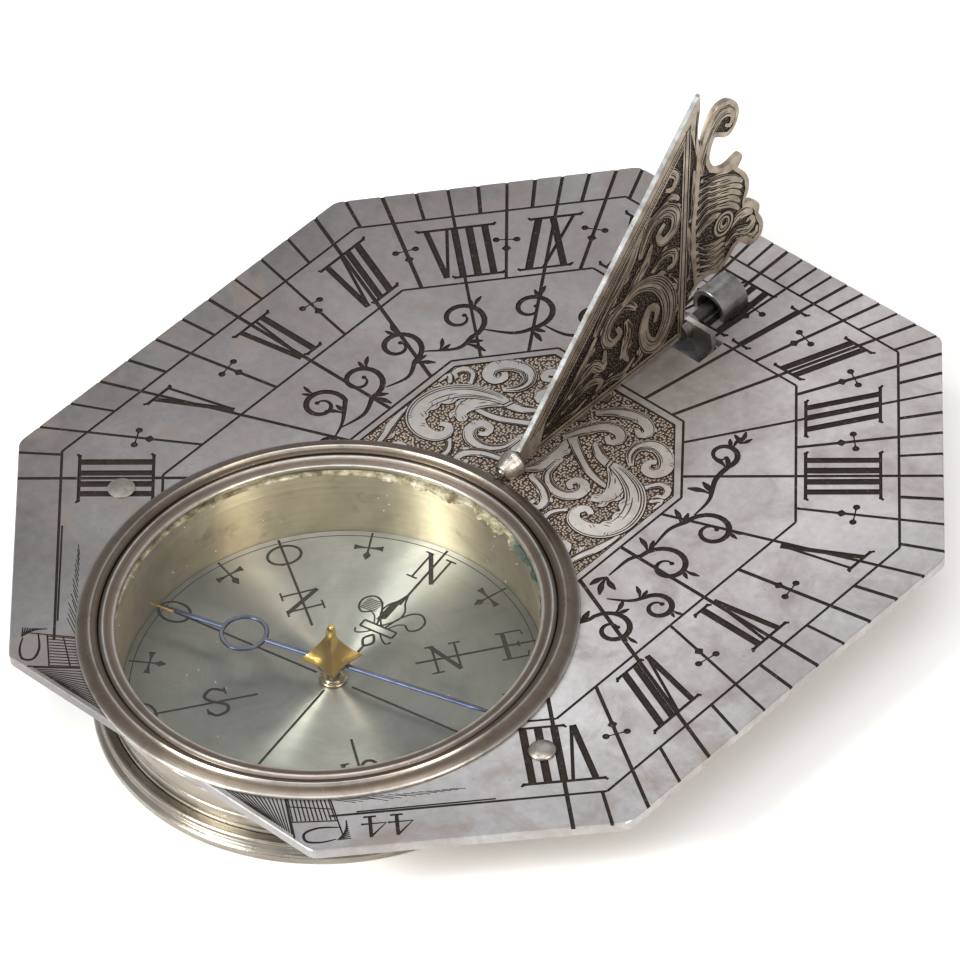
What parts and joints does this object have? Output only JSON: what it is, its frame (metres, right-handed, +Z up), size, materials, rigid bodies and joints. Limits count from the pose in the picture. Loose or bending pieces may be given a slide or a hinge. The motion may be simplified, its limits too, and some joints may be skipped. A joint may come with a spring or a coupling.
{
  "type": "pocket sundial",
  "caption": "Octagonal pocket sundial with a folding bird-shaped gnomon and a compass sunk in its plate.",
  "frame": {"origin": "middle of the compass box's flat underside, which the sundial stands on", "axes": "+Y north along the noon line, from the compass to the gnomon; +Z up; +X east"},
  "size_m": [0.058, 0.0657, 0.0279],
  "materials": {
    "silver": "worn satin silver with dark filled engraving",
    "golden_silver": "warm brushed silver",
    "tarnished_silver": "brown tarnish in the grooves, bright ridges",
    "putty": "dark dry putty",
    "glass": "clear, polished",
    "steel": "filed and oiled",
    "blued_steel": "heat blued, polished",
    "brass": "gilt, polished"
  },
  "bodies": {
    "case": {"dial_plate": "silver", "bowl_wall": "golden_silver", "base_plate": "silver", "foot_ring": "silver", "rose_plate": "golden_silver", "bowl_flange": "silver", "bowl_rivet_west": "silver", "bowl_rivet_east": "silver", "bezel_ring": "tarnished_silver", "retaining_ring": "tarnished_silver", "glass_bedding": "putty", "glass": "glass", "pivot_pin": "steel", "pivot_bush": "brass", "south_post": "silver", "north_cock": "tarnished_silver", "leaf_spring": "steel", "spring_rivet_south": "silver", "spring_rivet_north": "silver"},
    "gnomon": {"gnomon_blade": "tarnished_silver", "gnomon_foot": "tarnished_silver", "north_pin": "steel", "toe_pin": "steel"},
    "needle": {"needle": "blued_steel", "needle_cap": "brass"}
  },
  "joints": [
    {"name": "gnomon_fold", "type": "hinge", "parent": "case", "child": "gnomon", "pos_m": [0, 0.0365, 0.0076], "axis": [0, 1, 0], "range_deg": [0, 90]},
    {"name": "needle_spin", "type": "hinge", "parent": "case", "child": "needle", "pos_m": [0, 0, 0.004], "axis": [0, 0, 1], "continuous": true}
  ]
}
